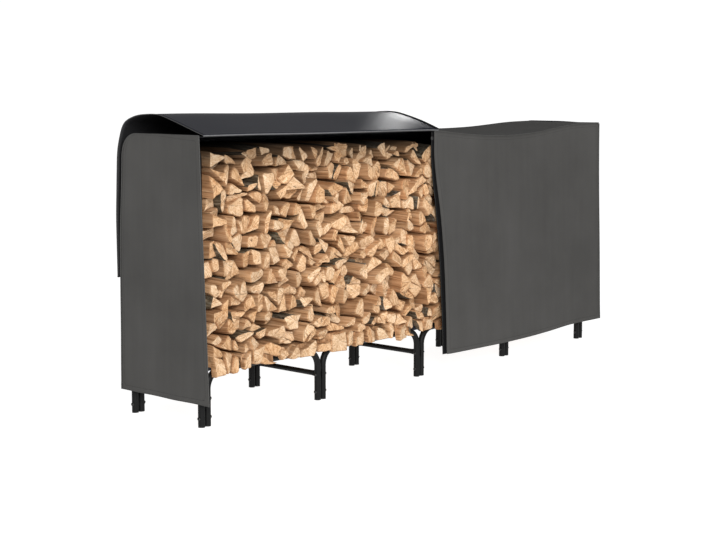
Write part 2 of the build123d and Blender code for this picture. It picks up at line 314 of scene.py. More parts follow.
def plain_trim(name, dark, light, roughness, shine=0.3):
    """Tape, binding and welts: a fine ribbed weave on object coordinates."""
    material, tree, shader = start_material(name)
    place = object_place(tree)
    fibres = cloudy(tree, place, 240.0, 3.0, 0.6)
    ribs = add_node(tree, "ShaderNodeTexWave", {"Vector": place, "Scale": 150.0}, bands_direction="DIAGONAL")
    height = weighted(tree, (fibres, 1.0), (ribs.outputs["Fac"], 0.5))
    fill(tree, shader, {
        "Base Color": colour_ramp(tree, fibres, (0.3, *dark), (0.7, *light)),
        "Roughness": roughness,
        "Specular IOR Level": shine,
        "Normal": relief(tree, height, 0.35, 0.0006),
    })
    return material


grey_cloth = grey_weave()
black_lining = black_coating()
# the pale welt's lighter grey is partly a painted highlight of the seam's edge
pale_welt_and_painted_highlight = plain_trim("pale_welt_and_painted_highlight", (0.092, 0.093, 0.097), (0.150, 0.151, 0.156), 0.6)
cover_welt = plain_trim("cover_welt", (0.050, 0.049, 0.047), (0.075, 0.074, 0.071), 0.8)
# black binding, also laid on hidden faces under the thrown flap as painted shade
black_binding_and_painted_shade = plain_trim("black_binding_and_painted_shade", (0.007, 0.007, 0.008), (0.016, 0.016, 0.017), 0.6)
zip_black = plain_trim("zip_black", (0.0026, 0.0026, 0.0029), (0.0060, 0.0060, 0.0064), 0.8, 0.08)
print("cloth finishes:", grey_cloth.name, black_lining.name, black_binding_and_painted_shade.name)

# %% [markdown]
# ## How a sheet of cloth is made
# A grid is added, and each of its points is sent to where the cloth hangs by a function of the shares
# across and up. A cloth simulation could do this too, but the photograph shows a taut cover, and a
# formula keeps its few soft waves where they are. Solidify then gives it both faces and an edge.


# %% Cloth helpers
CLOTH_THICKNESS = 0.0016


def deselect_all():
    """Nothing selected, nothing in edit mode."""
    if bpy.context.object and bpy.context.object.mode != "OBJECT":
        bpy.ops.object.mode_set(mode="OBJECT")
    bpy.ops.object.select_all(action="DESELECT")


def take(piece):
    """Selects one piece and makes it active."""
    deselect_all()
    piece.select_set(True)
    bpy.context.view_layer.objects.active = piece


def belongs(piece):
    """Puts a finished piece on the rack."""
    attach(piece, "root")


def smooth_step(value, low, high):
    """0 below low, 1 above high, and a soft rise between."""
    share = min(1.0, max(0.0, (value - low) / (high - low)))
    return share * share * (3.0 - 2.0 * share)


def ripple(x, y, z, scale):
    """Soft repeatable unevenness between about -1 and 1."""
    return noise.noise(Vector((x * scale + 11.3, y * scale + 5.1, z * scale + 7.7)))


def cloth_sheet(name, columns, rows, place, outside, inside):
    """A sheet whose points go where place(across, up) says; prints its mean width and length."""
    deselect_all()
    bpy.ops.mesh.primitive_grid_add(x_subdivisions=columns, y_subdivisions=rows, size=2.0)
    sheet = bpy.context.object
    sheet.name = name
    mesh = sheet.data
    shares = [((v.co.x + 1.0) / 2.0, (v.co.y + 1.0) / 2.0) for v in mesh.vertices]
    for vertex, (across, up) in zip(mesh.vertices, shares):
        vertex.co = place(across, up)
    grid = np.zeros((rows + 1, columns + 1, 3))
    index_of = {}
    for index, (across, up) in enumerate(shares):
        spot = (round(up * rows), round(across * columns))
        grid[spot] = mesh.vertices[index].co
        index_of[index] = spot
    run_across = np.zeros((rows + 1, columns + 1))
    run_across[:, 1:] = np.cumsum(np.linalg.norm(np.diff(grid, axis=1), axis=2), axis=1)
    run_up = np.zeros((rows + 1, columns + 1))
    run_up[1:, :] = np.cumsum(np.linalg.norm(np.diff(grid, axis=0), axis=2), axis=0)
    width = run_across[:, -1]
    height = run_up[-1, :]
    cloth = mesh.uv_layers[0] if mesh.uv_layers else mesh.uv_layers.new(name="cloth")
    cloth.name = "cloth"
    stitch = mesh.uv_layers.new(name="stitch")
    for loop in mesh.loops:
        row, column = index_of[loop.vertex_index]
        u = run_across[row, column]
        v = run_up[row, column]
        from_side = min(u, width[row] - u)
        from_hem = min(v, height[column] - v)
        cloth.data[loop.index].uv = (u, v)
        stitch.data[loop.index].uv = (u, from_hem) if from_hem < from_side else (v, from_side)
    mesh.materials.append(outside)
    mesh.materials.append(inside)
    solidify = sheet.modifiers.new("thickness", "SOLIDIFY")
    solidify.thickness = CLOTH_THICKNESS
    solidify.offset = -1.0
    solidify.use_even_offset = True
    solidify.material_offset = 1
    solidify.material_offset_rim = 0
    take(sheet)
    bpy.ops.object.modifier_apply(modifier=solidify.name)
    for polygon in mesh.polygons:
        polygon.use_smooth = True
    print(name, round(float(width.mean()), 3), "x", round(float(height.mean()), 3))
    return sheet


def bead(name, points, radius, finish, sides=2):
    """A sewn-in welt: a thin round cord along a line of points, as a mesh."""
    curve = bpy.data.curves.new(name, "CURVE")
    curve.dimensions = "3D"
    curve.bevel_depth = radius
    curve.bevel_resolution = sides
    curve.use_fill_caps = True
    spline = curve.splines.new("POLY")
    spline.points.add(len(points) - 1)
    for spot, point in zip(spline.points, points):
        spot.co = (*point, 1.0)
    welt = new_object(name, curve)
    take(welt)
    bpy.ops.object.convert(target="MESH")
    welt = bpy.context.object
    welt.data.materials.clear()
    welt.data.materials.append(finish)
    for polygon in welt.data.polygons:
        polygon.use_smooth = True
    return welt


def soft_line(points, x, reach):
    """A line of (place, value) points, softened over a reach to either side."""
    places, values = zip(*points)
    steps = (-reach, -reach / 2.0, 0.0, reach / 2.0, reach)
    return sum(float(np.interp(x + step, places, values)) for step in steps) / len(steps)


def hem_fold(above_hem):
    """How far the doubled cloth of a hem stands out."""
    return 0.0007 * (1.0 - smooth_step(above_hem, 0.021, 0.026))


print("cloth helpers ready")

# %% [markdown]
# ## The left end panel
# Each end is one flat panel with a round rear shoulder. It hangs from the roof seam against the end frame,
# so it is flat above and free at the hem, where it stands off far enough to clear the bolt heads.


# %% Hang the left end panel
BACK_BULGE = 0.006
PANEL_KNEE = 0.8
TUCK = 0.0006


def front_line(z):
    """Front edge of an end panel at a height."""
    share = (z - HEM) / (ROOF - HEM)
    return FRONT_HEM_Y + share * (FRONT_ROOF_Y - FRONT_HEM_Y)


def rear_line(z):
    """Rear edge of an end panel at a height."""
    if z <= KNEE:
        share = (z - HEM) / (KNEE - HEM)
        return BACK_HEM_Y + share * (BACK_KNEE_Y - BACK_HEM_Y) + BACK_BULGE * math.sin(math.pi * share)
    rise = min(SHOULDER, z - KNEE)
    return SHOULDER_Y + math.sqrt(max(0.0, SHOULDER ** 2 - rise ** 2))


def panel_height(up):
    """Height for a share up the panel: even to the knee, then by angle round the shoulder."""
    if up <= PANEL_KNEE:
        return HEM + (KNEE - HEM) * up / PANEL_KNEE
    return KNEE + SHOULDER * math.sin((up - PANEL_KNEE) / (1.0 - PANEL_KNEE) * math.pi / 2.0)


def end_stand_off(y, z, side):
    """How far an end panel stands off its flat place."""
    free = 1.0 - smooth_step(z, HEM, HEM + 0.55)
    wave = 0.0030 * (1.0 + ripple(side * 3.0, y, z * 0.25, 9.0)) * (0.35 + 0.65 * free)
    flare = (0.0085 if side > 0 else 0.0030) * (1.0 - smooth_step(z, HEM, HEM + 0.26))
    return wave + flare + hem_fold(z - HEM) + 0.0025


def end_hem_lift(y, side):
    """Small unevenness of the hem line."""
    return (0.006 + 0.003 * ripple(2.0, y, 0.4, 6.0)) if side > 0 else 0.001 * ripple(-2.0, y, 0.4, 6.0)


def left_front_line(z):
    """Front edge of the left panel: it leans forward from the roof to the hem."""
    share = (z - HEM) / (ROOF - HEM)
    return front_line(z) - 0.0075 + 0.0320 * share + 0.0035 * math.sin(math.pi * share)


def left_rear_pull(z):
    """How far the rear edge of the left panel is pulled in below its shoulder."""
    return 0.0075 * smooth_step(z, 0.62, 0.90) * (1.0 - smooth_step(z, 0.95, ROOF))


def left_panel_place(across, up):
    """Left end, from the rear edge to the front edge."""
    z = panel_height(up)
    rear = rear_line(z) - left_rear_pull(z)
    y = rear + (left_front_line(z) - rear) * across
    lift = end_hem_lift(y, -1) * (1.0 - up) ** 3 + 0.003 * smooth_step(up, 0.85, 1.0)
    return (-END_X + TUCK - end_stand_off(y, z, -1), y, z + lift)


left_end = cloth_sheet("left_end_cloth", 40, 64, left_panel_place, grey_cloth, black_lining)
belongs(left_end)
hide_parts("cover_left_end_panel")

# %% [markdown]
# ## The back panel
# The back drops from the roof seam round a soft shoulder. On the right the roof is slack, so its rear seam
# dips there, and the shoulder below it gives way. A few long soft folds keep it from looking like a board.


# %% Hang the back
BACK_KNEE = 0.82
REAR_SAG_SHARE = 0.50
SAG_REACH = 0.06
SAG_POINTS = ((-1.24, 0.0), (-1.0, 0.001), (-0.7, 0.0055), (-0.3, 0.0080), (0.055, 0.0100), (0.12, 0.0185),
              (0.24, 0.0295), (0.38, 0.0395), (0.56, 0.0440), (0.75, 0.0375), (0.91, 0.020), (1.03, 0.006),
              (1.20, 0.002), (1.24, 0.002))


def sag(x):
    """How far the roof hangs at its front edge."""
    return soft_line(SAG_POINTS, x, SAG_REACH)


def back_profile(up):
    """Place (y, z) and outward direction along the back, from the hem to the roof seam."""
    if up <= BACK_KNEE:
        z = HEM + up / BACK_KNEE * (KNEE - HEM)
        return rear_line(z), z, 1.0, 0.02
    angle = (up - BACK_KNEE) / (1.0 - BACK_KNEE) * math.pi / 2.0
    y = SHOULDER_Y + SHOULDER * math.cos(angle)
    return y, KNEE + SHOULDER * math.sin(angle), math.cos(angle), math.sin(angle)


def back_place(across, up):
    """Back, from the right end to the left end; both its ends meet the end panels."""
    y, z, out_y, out_z = back_profile(up)
    right_x = END_X - TUCK + end_stand_off(rear_line(z), z, 1)
    left_x = -END_X + TUCK - end_stand_off(rear_line(z) - left_rear_pull(z), z, -1)
    x = right_x + across * (left_x - right_x)
    middle = math.sin(math.pi * across) ** 0.5
    free = 1.0 - smooth_step(z, HEM, HEM + 0.7)
    wave = 0.0045 * (1.0 + ripple(x, 3.0, z * 0.2, 3.4)) * (0.3 + 0.7 * free) * middle
    fold = 0.003 * middle * math.sin(math.pi * min(1.0, up / BACK_KNEE)) * (1.0 + math.sin(7.0 * x + 1.5 * z))
    stand_off = min(0.009, wave + fold) * (1.0 - smooth_step(up, BACK_KNEE, 0.95)) + hem_fold(z - HEM)
    dip = REAR_SAG_SHARE * sag(x) * smooth_step(up, 0.80, 1.0)
    at_end = smooth_step(abs(2.0 * across - 1.0), 0.88, 1.0)
    free_lift = 0.004 * ripple(x, 1.0, 0.2, 2.4) * (1.0 - up) ** 4
    end_lift = end_hem_lift(y, 1 if across < 0.5 else -1) * (1.0 - up) ** 3
    lift = free_lift + (end_lift - free_lift) * at_end
    y -= left_rear_pull(z) * smooth_step(across, 0.88, 1.0)
    return (x, y + stand_off * out_y, z + stand_off * out_z - dip + lift)


back = cloth_sheet("back_cloth", 96, 60, back_place, grey_cloth, black_lining)
belongs(back)
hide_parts("cover_back_panel")

# %% [markdown]
# ## The roof
# The roof is one strip from end to end, but only its right half shows: that half hangs slack between the
# split and the right end frame, deepest at the front seam. The left half lies under the thrown flap, and its
# top is black binding cloth as painted shade under the flap.


# %% Lay the roof
END_OVERLAP = 0.0020
SEAM_TUCK = 0.001
SEAM_DROP = 0.0002


def end_swell(share):
    """How much of the right end's swell is left at a share of the depth."""
    return 1.0 - smooth_step(share, 0.0, 0.6)


def seam_swell(x):
    """How far the front roof seam swings forward near the right end."""
    return 0.0145 * smooth_step(x, 0.86, 1.22)


def seam_back(x):
    """How far the front roof seam is drawn back near the left end."""
    return 0.005 * (1.0 - smooth_step(x, -END_X, -0.95))


def roof_left_place(across, up):
    """Left half of the roof."""
    x = -END_X - END_OVERLAP + across * (SPLIT_X + END_X + END_OVERLAP)
    front = FRONT_ROOF_Y + SEAM_TUCK + seam_back(x)
    y = front + up * (SHOULDER_Y - front)
    share = 1.0 + (REAR_SAG_SHARE - 1.0) * up
    slack = 0.006 * math.sin(math.pi * across) * math.sin(math.pi * up)
    return (x, y, ROOF - SEAM_DROP - sag(x) * share - slack)


def roof_right_place(across, up):
    """Right half of the roof."""
    x = SPLIT_X + across * (END_X - 0.0016 - SPLIT_X)
    front = FRONT_ROOF_Y + SEAM_TUCK - seam_swell(x)
    y = front + up * (SHOULDER_Y - front)
    share = 1.0 + (REAR_SAG_SHARE - 1.0) * up
    belly = 0.010 * math.sin(math.pi * up) * min(1.0, sag(x) / 0.030) * smooth_step(across, 0.0, 0.15)
    x += (0.0046 + 0.0155 * end_swell(up)) * smooth_step(across, 0.8, 1.0)
    return (x, y, ROOF - SEAM_DROP - sag(x) * share - belly)


# the left half's top is black binding cloth: painted shade under the thrown flap
roof_left = cloth_sheet("roof_left_cloth", 60, 20, roof_left_place, black_binding_and_painted_shade, black_lining)
roof_right = cloth_sheet("roof_right_cloth", 72, 28, roof_right_place, grey_cloth, black_lining)
belongs(roof_left)
belongs(roof_right)
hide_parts("cover_roof_left")
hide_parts("cover_roof_right")

# %% [markdown]
# ## The closed front flap
# The right flap falls from the slack roof seam. Its free left edge turns back a little and its hem swings
# out in one long wave, with a hollow near the right corner, as the hem in the photograph does.

# %% Hang the closed flap
HEM_POINTS = ((0.02, 0.256), (0.085, 0.259), (0.25, 0.261), (0.50, 0.261), (0.70, 0.258), (0.89, 0.249),
              (0.99, 0.241), (1.08, 0.239), (1.16, 0.248), (1.26, 0.258))
HEM_RISE = ((0.02, 0.003), (0.25, 0.000), (0.50, -0.003), (0.70, -0.002), (0.89, 0.002), (0.99, 0.007),
            (1.10, 0.009), (1.26, 0.013))
FREE_EDGE = ((0.0, 0.061), (0.11, 0.063), (0.24, 0.060), (0.38, 0.056), (0.51, 0.047), (0.645, 0.035),
             (0.70, 0.027), (0.78, 0.014), (0.85, 0.006), (0.925, 0.002), (1.0, 0.0))
FLAP_REACH = 0.05


def flap_right_place(across, up):
    """Closed flap, from its free edge to the right end and from the hem to the roof seam."""
    left = FREE_TOP_X + soft_line(FREE_EDGE, up, FLAP_REACH)
    x = left + across * (END_X - left)
    low_y = -soft_line(HEM_POINTS, x, FLAP_REACH)
    low_z = HEM + soft_line(HEM_RISE, x, FLAP_REACH)
    top_z = ROOF - sag(x)
    z = low_z + up * (top_z - low_z)
    swing = (1.0 - up) ** 1.25
    y = FRONT_ROOF_Y + (low_y - FRONT_ROOF_Y) * swing - seam_swell(x) * (0.5 + 0.5 * up)
    y -= 0.0035 * math.sin(math.pi * up) * (1.0 + ripple(x, 2.0, z * 0.3, 5.0))
    y -= hem_fold(z - low_z)
    turned = 1.0 - smooth_step(x, left, left + 0.030)
    y += 0.0055 * turned * turned * smooth_step(1.0 - up, 0.0, 0.12)
    x += 0.016 * (1.0 - up) ** 2 * smooth_step(across, 0.55, 1.0) + 0.0035 * smooth_step(across, 0.97, 1.0)
    x += (0.009 + 0.006 * up) * smooth_step(across, 0.8, 1.0)
    round_top = 0.006 * smooth_step(up, 0.97, 1.0) * smooth_step(across, 0.985, 1.0)
    return (x, y, z - round_top)


flap_right = cloth_sheet("front_flap_cloth", 84, 64, flap_right_place, grey_cloth, black_lining)
belongs(flap_right)
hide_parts("cover_front_flap_right")

# %% [markdown]
# ## The right end panel
# This panel is the left one's twin, but the photograph shows its front corner pulled forward and outward. So
# its front edge takes the edge of the closed flap, and the pull fades out towards the back.


# %% Hang the right end panel
def right_flat_place(across, up):
    """Right end without the pull, from the front edge to the rear edge."""
    z = panel_height(up)
    y = front_line(z) + (rear_line(z) - front_line(z)) * across
    lift = end_hem_lift(y, 1) * (1.0 - up) ** 3
    return Vector((END_X - TUCK + end_stand_off(y, z, 1), y, z + lift))


def right_panel_place(across, up):
    """Right end, its front edge on the edge of the closed flap."""
    share = (panel_height(up) - HEM) / (ROOF - HEM)
    pull = Vector(flap_right_place(1.0, share)) - right_flat_place(0.0, up)
    return right_flat_place(across, up) + pull * end_swell(across)


right_end = cloth_sheet("right_end_cloth", 40, 64, right_panel_place, grey_cloth, black_lining)
belongs(right_end)
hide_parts("cover_right_end_panel")

# %% [markdown]
# ## The thrown-back flap
# The left flap lies on the roof with its lining up: it rises off the front seam, crosses the roof in a flat
# arch and hangs down behind. Its side view is a line of a few corners that is smoothed by averaging.
# Its underside is black binding cloth rather than grey, as painted shade under the arch.

# %% Drape the thrown flap
THROWN_CORNERS = ((-0.228, 1.0255), (0.008, 1.0955), (0.120, 1.0910), (0.199, 1.0650), (0.2330, 0.9650),
                  (0.2455, 0.7200), (0.2435, 0.4990))


def smoothed(corners, count, passes):
    """Even points along a line of corners, softened by averaging neighbours."""
    corner_array = np.array(corners)
    runs = np.concatenate([[0.0], np.cumsum(np.linalg.norm(np.diff(corner_array, axis=0), axis=1))])
    places = np.linspace(0.0, runs[-1], count)
    line = np.stack([np.interp(places, runs, corner_array[:, axis]) for axis in range(2)], axis=1)
    for _ in range(passes):
        line[1:-1] = (line[:-2] + 2.0 * line[1:-1] + line[2:]) / 4.0
    return line


thrown_line = smoothed(THROWN_CORNERS, 101, 12)


def on_line(line, share):
    """A point of a line at a share of its count."""
    place = share * (len(line) - 1)
    low = min(int(place), len(line) - 2)
    part = place - low
    return line[low] * (1.0 - part) + line[low + 1] * part


def thrown_point(x, share):
    """The thrown flap at a place along the rack and a share of its run."""
    y, z = on_line(thrown_line, share)
    along = (x + END_X) / (SPLIT_X + END_X)
    front = 1.0 - smooth_step(share, 0.0, 0.20)
    hang = smooth_step(share, 0.5, 1.0)
    y += seam_back(x) * front + 0.0035 * hang * ripple(x, 4.0, z * 0.3, 2.6)
    z -= (sag(x) + 0.001 * smooth_step(along, 0.97, 1.0)) * (1.0 - hang)
    z += 0.0065 * smooth_step(x, -0.45, 0.0) * math.sin(math.pi * min(1.0, share / 0.25))
    z += 0.0030 * smooth_step(along, 0.85, 1.0) * front
    calm = 1.0 - smooth_step(along, 0.65, 0.95)
    z += 0.0022 * ripple(x, 6.0, share * 0.8, 3.0) * math.sin(math.pi * min(1.0, share * 2.0)) * calm
    return (x, y, z)


def thrown_place(across, up):
    """Thrown flap, from left to right and from the front seam over the roof to the free hem behind."""
    x = -END_X - 0.001 + across * (SPLIT_X + END_X + 0.001)
    return thrown_point(x, up)


# the underside is black binding cloth: painted shade under the arch
thrown = cloth_sheet("thrown_flap_cloth", 72, 90, thrown_place, black_lining, black_binding_and_painted_shade)
belongs(thrown)
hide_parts("cover_front_flap_left")

# %% [markdown]
# ## Welts and binding
# Where two panels meet, the cover has a sewn-in welt: a thin cord in a strip of cloth. A pale welt runs
# along the roof's front seam, its lighter grey partly a painted highlight of the edge, and black binding
# folds over the free edges of the thrown flap.


# %% Sew the welts
def end_edge(place, front, rear):
    """Points round an end panel, from the front of the roof to the rear hem."""
    top = [place(front + (rear - front) * s / 14, 1.0) for s in range(15)]
    return top + [place(rear, 1.0 - s / 60) for s in range(1, 61)]


def up_edge(place, across, count):
    """Points from the bottom to the top of a sheet, or along the thrown flap's run."""
    return [place(across, s / count) for s in range(count + 1)]


def top_edge(place, count):
    """Points across a sheet at the end of its run."""
    return [place(s / count, 1.0) for s in range(count + 1)]


pale_seam = []
for x in np.linspace(-END_X, SPLIT_X, 40):
    pale_seam.append((x, FRONT_ROOF_Y - 0.0015 + seam_back(x), ROOF + 0.0035 - sag(x)))
welts = [
    bead("left_end_welt", end_edge(left_panel_place, 1.0, 0.0), 0.0017, cover_welt),
    bead("right_end_welt", end_edge(right_panel_place, 0.0, 1.0), 0.0017, cover_welt),
    bead("left_front_welt", up_edge(left_panel_place, 1.0, 40), 0.0020, cover_welt),
    bead("right_front_welt", up_edge(flap_right_place, 1.0, 40), 0.0019, cover_welt),
    bead("slack_seam_welt", top_edge(flap_right_place, 80), 0.0016, cover_welt),
    bead("rear_seam_welt", top_edge(back_place, 96), 0.0014, cover_welt),
    # lighter grey cord: partly a painted highlight of the seam's edge
    bead("pale_roof_welt", pale_seam, 0.0026, pale_welt_and_painted_highlight, 3),
    bead("thrown_left_binding", up_edge(thrown_point, -END_X - 0.0008, 90), 0.0012, cover_welt),
    bead("thrown_right_binding", up_edge(thrown_point, SPLIT_X - 0.0002, 90), 0.0050, zip_black),
    bead("thrown_hem_binding", top_edge(thrown_place, 60), 0.0026, black_binding_and_painted_shade),
]
for welt in welts:
    belongs(welt)
print("welts and bindings:", len(welts))

# %% [markdown]
# ## The zip
# A strip of zip tape shows along the free edge of the closed flap. Its teeth are one small block, copied
# down the tape at three-millimetre steps, with a slider parked at the top.


# %% Make the zip
TOOTH_COUNT = 306
TEETH_ACROSS = 0.03


def tape_point(across, up):
    """A point on the zip tape."""
    edge = flap_right_place(0.0, up)
    showing = 0.0235 - 0.0115 * smooth_step(up, 0.55, 1.0) - 0.002 * smooth_step(1.0 - up, 0.6, 1.0)
    x = edge[0] + 0.008 - (0.008 + showing) * (1.0 - across)
    y = edge[1] + 0.0030 + 0.0025 * (1.0 - across)
    return (x, y, edge[2] + 0.001 - 0.005 * up)


tape = cloth_sheet("zip_tape_cloth", 6, 80, tape_point, zip_black, zip_black)
belongs(tape)
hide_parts("zip_tape")


def small_block(name, size, bevel):
    """A bevelled block at the origin, from a cube."""
    deselect_all()
    bpy.ops.mesh.primitive_cube_add(size=1.0)
    block = bpy.context.object
    block.name = name
    bpy.ops.object.mode_set(mode="EDIT")
    bpy.ops.mesh.select_all(action="SELECT")
    bpy.ops.transform.resize(value=size)
    bpy.ops.mesh.bevel(offset=bevel, segments=1, affect="EDGES")
    bpy.ops.object.mode_set(mode="OBJECT")
    return block


def edit_faces(piece, way):
    """Opens a piece in edit mode with only the faces selected that point one way."""
    bpy.ops.object.mode_set(mode="EDIT")
    bpy.ops.mesh.select_all(action="DESELECT")
    bpy.ops.object.mode_set(mode="OBJECT")
    for polygon in piece.data.polygons:
        polygon.select = polygon.normal.dot(way) > 0.9
    bpy.ops.object.mode_set(mode="EDIT")


tooth = small_block("zip_tooth", (0.0046, 0.0022, 0.0016), 0.0004)
tooth_mesh = tooth.data.copy()
bpy.data.objects.remove(tooth)
teeth_builder = bmesh.new()
for index in range(TOOTH_COUNT):
    spot = tape_point(TEETH_ACROSS, (index + 0.5) / TOOTH_COUNT)
    start = len(teeth_builder.verts)
    teeth_builder.from_mesh(tooth_mesh)
    teeth_builder.verts.ensure_lookup_table()
    for vertex in teeth_builder.verts[start:]:
        vertex.co += Vector((spot[0], spot[1] - 0.0012, spot[2]))
teeth_mesh = bpy.data.meshes.new("zip_teeth")
teeth_builder.to_mesh(teeth_mesh)
teeth_builder.free()
teeth = new_object("zip_teeth", teeth_mesh)
teeth.data.materials.append(plastic)
belongs(teeth)

slider = small_block("zip_slider", (0.0115, 0.0070, 0.0150), 0.0022)
edit_faces(slider, Vector((0.0, -1.0, 0.0)))
bpy.ops.mesh.inset(thickness=0.0016)
bpy.ops.mesh.extrude_region_move(TRANSFORM_OT_translate={"value": (0.0, -0.0018, 0.0)})
bpy.ops.object.mode_set(mode="OBJECT")
spot = tape_point(TEETH_ACROSS, 0.972)
slider.data.transform(Matrix.Translation((spot[0], spot[1] - 0.002, spot[2])))
slider.data.materials.append(plastic)
belongs(slider)
print("zip teeth:", TOOTH_COUNT)

# %% [markdown]
# ## Bolts
# At each pair of legs two bolts run through both tubes, and the upper one also holds the cross bar. The
# heads are low domes and the nuts are closed caps. One of each is turned on its side, shaped from a cylinder
# by insets and moves, and copied to its places.


# %% Make the bolts
def turned_cap(name, sides, radius, depth, steps, turn):
    """A cap lying along X, from a cylinder about the origin whose end is inset and raised in steps."""
    deselect_all()
    bpy.ops.mesh.primitive_cylinder_add(vertices=sides, radius=radius, depth=depth, location=(0.0, 0.0, 0.0))
    cap = bpy.context.object
    cap.name = name
    edit_faces(cap, Vector((0.0, 0.0, 1.0)))
    for inset, rise in steps:
        bpy.ops.mesh.inset(thickness=inset)
        bpy.ops.transform.translate(value=(0.0, 0.0, rise))
    bpy.ops.object.mode_set(mode="OBJECT")
    cap.data.transform(Matrix.Rotation(math.radians(turn), 4, "Y"))
    take(cap)
    bpy.ops.object.shade_smooth_by_angle(angle=math.radians(35.0))
    return cap


def blackened_steel():
    """Blackened bolts: darker than the paint and a little shinier."""
    material, tree, shader = start_material("blackened_steel")
    wear = cloudy(tree, object_place(tree), 210.0, 4.0, 0.65)
    fill(tree, shader, {
        "Base Color": colour_ramp(tree, wear, (0.40, 0.010, 0.010, 0.010), (0.78, 0.050, 0.049, 0.047)),
        "Metallic": 0.6,
        "Roughness": 0.36,
        "Normal": relief(tree, wear, 0.15, 0.0003),
    })
    return material


bolt_steel = blackened_steel()
STATIONS = (-1.2, -0.6, 0.0, 0.6, 1.2)
LEG_SIDE = STATIONS[0] - frame_low.x
LEG_Y = frame_high.y - LEG_RADIUS
BOLT_HEIGHTS = (0.032, 0.098)
SEAT_DEPTH = 0.0006
HEAD_STEPS = ((0.000792, 0.00136), (0.00132, 0.00136), (0.001716, 0.00088), (0.001584, 0.0004))
NUT_STEPS = ((0.0012, 0.0006), (0.0012, 0.0024), (0.0018, 0.0014), (0.0018, 0.0006))
head_pattern = turned_cap("bolt_head", 16, 0.0066, 0.0044, HEAD_STEPS, -90.0)
nut_pattern = turned_cap("cap_nut", 6, 0.0075, 0.0050, NUT_STEPS, 90.0)
patterns = ((head_pattern, SEAT_DEPTH - LEG_SIDE), (nut_pattern, LEG_SIDE - SEAT_DEPTH))
bolt_count = 0
for x in STATIONS:
    for y in (-LEG_Y, LEG_Y):
        for z in BOLT_HEIGHTS:
            for pattern, shift in patterns:
                copy = new_object(f"{pattern.name}_{bolt_count:02d}", pattern.data.copy())
                copy.data.transform(Matrix.Translation((x + shift, y, z)))
                copy.data.materials.append(bolt_steel)
                belongs(copy)
                bolt_count += 1
bpy.data.objects.remove(head_pattern)
bpy.data.objects.remove(nut_pattern)
print("bolt heads and nuts:", bolt_count, "leg side at", round(LEG_SIDE, 4))

# %% [markdown]
# ## Wood finishes
# A split log has three faces: a pale end with faint rings, brown split sides that run with the grain, and
# here and there a strip of dark bark. Each log carries a tint of its own as an attribute, so no two match.
# The grain lies on a UV map in metres: along and around on the sides, from the pith on the ends. Wood close
# under the roof is darkened by a second attribute, as painted shade from the roof, weaker on the ends.


# %% Make the wood finishes
def attribute(tree, name, output="Fac"):
    """A value that the mesh carries at each point."""
    return add_node(tree, "ShaderNodeAttribute", attribute_name=name).outputs[output]


def log_tint(tree):
    """Three random numbers of the log, as red, green and blue."""
    return add_node(tree, "ShaderNodeSeparateColor", {"Color": attribute(tree, "log_tint", "Color")}).outputs


def grain_place(tree):
    """The log's own map."""
    return add_node(tree, "ShaderNodeUVMap", uv_map="grain").outputs["UV"]


def painted_roof_shade(tree, colour, share=1.0):
    """Painted shade: darker where the wood lies close under the roof."""
    return blend_colours(tree, share, colour, attribute(tree, "log_painted_shade"), "MULTIPLY")


def log_end_finish():
    """Pale end grain: rings and rays about the pith, mottling, a few cracks and a darker rim."""
    material, tree, shader = start_material("log_end_grain")
    grain = grain_place(tree)
    tint = log_tint(tree)
    parts = add_node(tree, "ShaderNodeSeparateXYZ", {"Vector": grain}).outputs
    angle = calculate(tree, "ARCTAN2", parts["Y"], parts["X"])
    away = add_node(tree, "ShaderNodeVectorMath", {0: grain}, operation="LENGTH").outputs["Value"]
    polar_inputs = {"X": angle, "Y": away, "Z": tint["Blue"]}
    polar = add_node(tree, "ShaderNodeCombineXYZ", polar_inputs).outputs["Vector"]
    rays = cloudy(tree, polar, 1.0, 4.0, 0.65, (17.0, 24.0, 40.0))
    wander = cloudy(tree, grain, 38.0, 3.0, 0.6)
    rings = calculate(tree, "SINE", weighted(tree, (away, 1500.0), (wander, 9.0)))
    mottle = cloudy(tree, grain, 115.0, 5.0, 0.70)
    blotch = cloudy(tree, grain, 24.0, 3.0, 0.6)
    tone = weighted(tree, (rays, 0.40), (mottle, 0.35), (blotch, 0.25), (rings, 0.012))
    pale = colour_ramp(
        tree, tone, (0.42, 0.43, 0.245, 0.125), (0.49, 0.69, 0.466, 0.279), (0.57, 0.83, 0.635, 0.440))
    warm = colour_ramp(
        tree, tone, (0.42, 0.33, 0.158, 0.064), (0.49, 0.58, 0.330, 0.160), (0.57, 0.75, 0.500, 0.295))
    wood = blend_colours(tree, tint["Green"], pale, warm)
    slit = cloudy(tree, polar, 1.0, 1.0, 0.5, (2.6, 5.0, 40.0))
    crack = calculate(tree, "COMPARE", slit, 0.5, 0.006)
    split = blend_colours(tree, calculate(tree, "MULTIPLY", crack, 0.7), wood, (0.10, 0.050, 0.024, 1.0))
    edge = mapped(tree, attribute(tree, "log_rim"), 0.0, 0.45, 0.72, 1.0)
    rimmed = blend_colours(tree, edge, split, (0.26, 0.14, 0.070, 1.0))
    lit = blend_colours(tree, 1.0, rimmed, mapped(tree, tint["Red"], 0.84, 1.08), "MULTIPLY")
    height = weighted(tree, (tone, 1.0), (crack, -0.6))
    fill(tree, shader, {
        # painted shade from the roof, at 0.6 strength on the ends
        "Base Color": painted_roof_shade(tree, lit, 0.6),
        "Roughness": 0.85,
        "Specular IOR Level": 0.15,
        "Normal": relief(tree, height, 0.6, 0.0040),
    })
    return material


